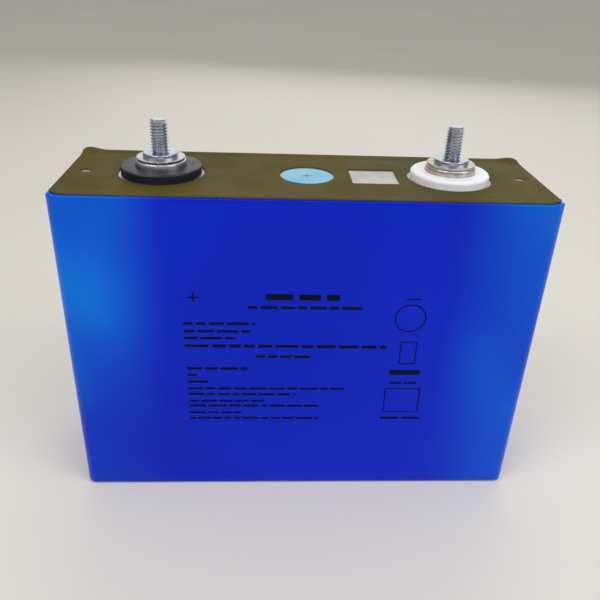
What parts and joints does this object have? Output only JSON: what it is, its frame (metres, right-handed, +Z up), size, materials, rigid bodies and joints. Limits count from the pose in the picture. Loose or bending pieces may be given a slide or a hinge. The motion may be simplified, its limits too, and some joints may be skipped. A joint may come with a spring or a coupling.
{
  "type": "prismatic battery cell",
  "caption": "Prismatic lithium iron phosphate cell in a blue film sleeve, with a black top sheet, a vent window, and a black and a white terminal disc that each carry an M6 stud.",
  "frame": {"origin": "centre of the base, on the surface that the cell stands on", "axes": "+X along the wide face from the positive (black) to the negative (white) terminal, +Y from the printed face to the rear face, +Z up along the studs"},
  "size_m": [0.1604, 0.0504, 0.1323],
  "materials": {
    "can_aluminium": "satin",
    "black_sheet": "satin",
    "blue_film": "gloss",
    "bottom_film": "gloss",
    "pale_blue_film": "gloss",
    "natural_plastic": "matte",
    "black_plastic": "satin",
    "white_plastic": "satin",
    "seal_rubber": "matte",
    "terminal_aluminium": "satin",
    "foil_aluminium": "satin",
    "copper": "satin",
    "stud_steel": "polished",
    "electrode": "matte",
    "separator": "matte",
    "green_tape": "gloss",
    "bag_film": "gloss"
  },
  "bodies": {
    "root": {"bottom_sheet": "bottom_film", "bottom_spacer": "natural_plastic", "can": "can_aluminium", "fill_bung": "seal_rubber", "fill_plug": "can_aluminium", "front_roll_tape": "green_tape", "front_separator": "separator", "front_winding": "electrode", "insulation_bag": "bag_film", "lid": "can_aluminium", "negative_collector": "copper", "negative_inner_insulator": "natural_plastic", "negative_outer_insulator": "white_plastic", "negative_pad": "terminal_aluminium", "negative_post": "copper", "negative_seal_ring": "seal_rubber", "negative_stud": "stud_steel", "negative_stud_plate": "stud_steel", "negative_tabs": "copper", "positive_collector": "foil_aluminium", "positive_inner_insulator": "natural_plastic", "positive_outer_insulator": "black_plastic", "positive_pad": "terminal_aluminium", "positive_post": "terminal_aluminium", "positive_seal_ring": "seal_rubber", "positive_stud": "stud_steel", "positive_stud_plate": "stud_steel", "positive_tabs": "foil_aluminium", "rear_roll_tape": "green_tape", "rear_separator": "separator", "rear_winding": "electrode", "sleeve": "blue_film", "top_sheet": "black_sheet", "vent_disc": "can_aluminium", "vent_film": "pale_blue_film", "vent_guard": "natural_plastic"}
  },
  "joints": []
}
